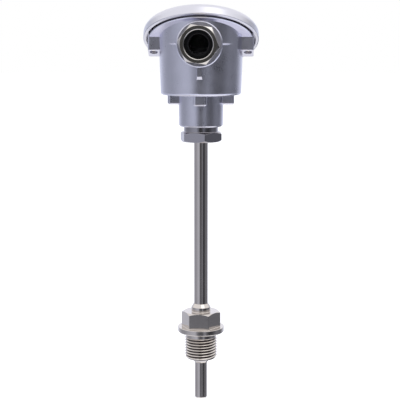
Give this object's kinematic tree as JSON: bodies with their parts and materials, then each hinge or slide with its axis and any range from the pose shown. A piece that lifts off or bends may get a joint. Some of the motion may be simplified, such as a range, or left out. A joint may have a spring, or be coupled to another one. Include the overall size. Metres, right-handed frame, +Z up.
{
  "type": "screw-in temperature sensor",
  "caption": "Screw-in resistance temperature sensor with a slanted-lid connection head, cable gland, neck tube, threaded process fitting and a short closed stem.",
  "frame": {"origin": "centre of the sealing face under the collar of the process fitting", "axes": "+Z up the neck tube towards the connection head; the cable gland points towards -Y; +X is to the right of someone who faces the gland"},
  "size_m": [0.0725, 0.0816, 0.2537],
  "materials": {
    "cast_aluminium": "fine blasted, matt",
    "stainless_steel": "turned and drawn, satin",
    "nickel_plated_brass": "nickel plated, bright",
    "black_rubber": "moulded, matt",
    "black_plastic": "moulded, matt",
    "white_ceramic": "glazed ceramic",
    "plain_brass": "machined, satin",
    "zinc_plated_steel": "zinc plated, satin",
    "spring_steel": "drawn wire",
    "lead_nickel": "drawn nickel wire"
  },
  "bodies": {
    "head": {"head_body": "cast_aluminium", "neck_nipple": "stainless_steel", "neck_tube": "stainless_steel", "process_fitting": "stainless_steel", "protection_tube": "stainless_steel", "gland_body": "nickel_plated_brass", "gland_washer": "black_rubber", "gland_seal": "black_rubber", "gland_thrust_ring": "black_plastic", "earth_washer": "zinc_plated_steel", "insert_spring_left": "spring_steel", "insert_spring_right": "spring_steel"},
    "cover": {"head_cover": "cast_aluminium", "cover_gasket": "black_rubber"},
    "insert": {"insert_plate": "stainless_steel", "terminal_block": "white_ceramic", "terminal_1": "plain_brass", "terminal_2": "plain_brass", "terminal_3": "plain_brass", "terminal_4": "plain_brass", "block_rivets": "plain_brass", "insert_sheath": "stainless_steel", "insulating_core": "white_ceramic", "sensing_element": "white_ceramic", "lead_wire_1": "lead_nickel", "lead_wire_2": "lead_nickel", "lead_wire_3": "lead_nickel", "lead_wire_4": "lead_nickel"},
    "cover_screw_left": {"cover_screw_left": "stainless_steel"},
    "cover_screw_right": {"cover_screw_right": "stainless_steel"},
    "gland_nut": {"gland_nut": "nickel_plated_brass"},
    "insert_screw_left": {"insert_screw_left": "zinc_plated_steel"},
    "insert_screw_right": {"insert_screw_right": "zinc_plated_steel"},
    "terminal_screw_1": {"terminal_screw_1": "plain_brass"},
    "terminal_screw_2": {"terminal_screw_2": "plain_brass"},
    "terminal_screw_3": {"terminal_screw_3": "plain_brass"},
    "terminal_screw_4": {"terminal_screw_4": "plain_brass"},
    "earth_screw": {"earth_screw": "zinc_plated_steel"}
  },
  "joints": [
    {"name": "cover_lift", "type": "slide", "parent": "head", "child": "cover", "axis": [0, 0.4462, 0.8949], "range_m": [0, 0.03]},
    {"name": "cover_screw_left_turn", "type": "hinge", "parent": "cover", "child": "cover_screw_left", "pos_m": [-0.0295, 0.0029, 0.19232], "axis": [0, 0.4462, 0.8949], "range_deg": [0, 4680]},
    {"name": "cover_screw_right_turn", "type": "hinge", "parent": "cover", "child": "cover_screw_right", "pos_m": [0.0295, 0.0029, 0.19232], "axis": [0, 0.4462, 0.8949], "range_deg": [0, 4680]},
    {"name": "gland_nut_turn", "type": "hinge", "parent": "head", "child": "gland_nut", "pos_m": [0, -0.04, 0.1854], "axis": [0, -1, 0], "range_deg": [0, 1440]},
    {"name": "insert_travel", "type": "slide", "parent": "head", "child": "insert", "axis": [0, 0, 1], "range_m": [0, 0.008], "stiffness_N_per_m": 2400, "springref_m": -0.004, "deforming": ["insert_spring_left", "insert_spring_right"]},
    {"name": "insert_screw_left_turn", "type": "hinge", "parent": "head", "child": "insert_screw_left", "pos_m": [-0.0165, 0, 0.17504], "axis": [0, 0, 1], "range_deg": [0, 4680]},
    {"name": "insert_screw_right_turn", "type": "hinge", "parent": "head", "child": "insert_screw_right", "pos_m": [0.0165, 0, 0.17504], "axis": [0, 0, 1], "range_deg": [0, 4680]},
    {"name": "terminal_screw_1_turn", "type": "hinge", "parent": "insert", "child": "terminal_screw_1", "pos_m": [0.006, 0.01, 0.1721], "axis": [0, 0, 1], "range_deg": [0, 1440]},
    {"name": "terminal_screw_2_turn", "type": "hinge", "parent": "insert", "child": "terminal_screw_2", "pos_m": [-0.006, 0.01, 0.1721], "axis": [0, 0, 1], "range_deg": [0, 1440]},
    {"name": "terminal_screw_3_turn", "type": "hinge", "parent": "insert", "child": "terminal_screw_3", "pos_m": [-0.006, -0.01, 0.1721], "axis": [0, 0, 1], "range_deg": [0, 1440]},
    {"name": "terminal_screw_4_turn", "type": "hinge", "parent": "insert", "child": "terminal_screw_4", "pos_m": [0.006, -0.01, 0.1721], "axis": [0, 0, 1], "range_deg": [0, 1440]},
    {"name": "earth_screw_turn", "type": "hinge", "parent": "head", "child": "earth_screw", "pos_m": [0.01602, 0.00925, 0.1764], "axis": [0, 0, 1], "range_deg": [0, 1800]}
  ]
}
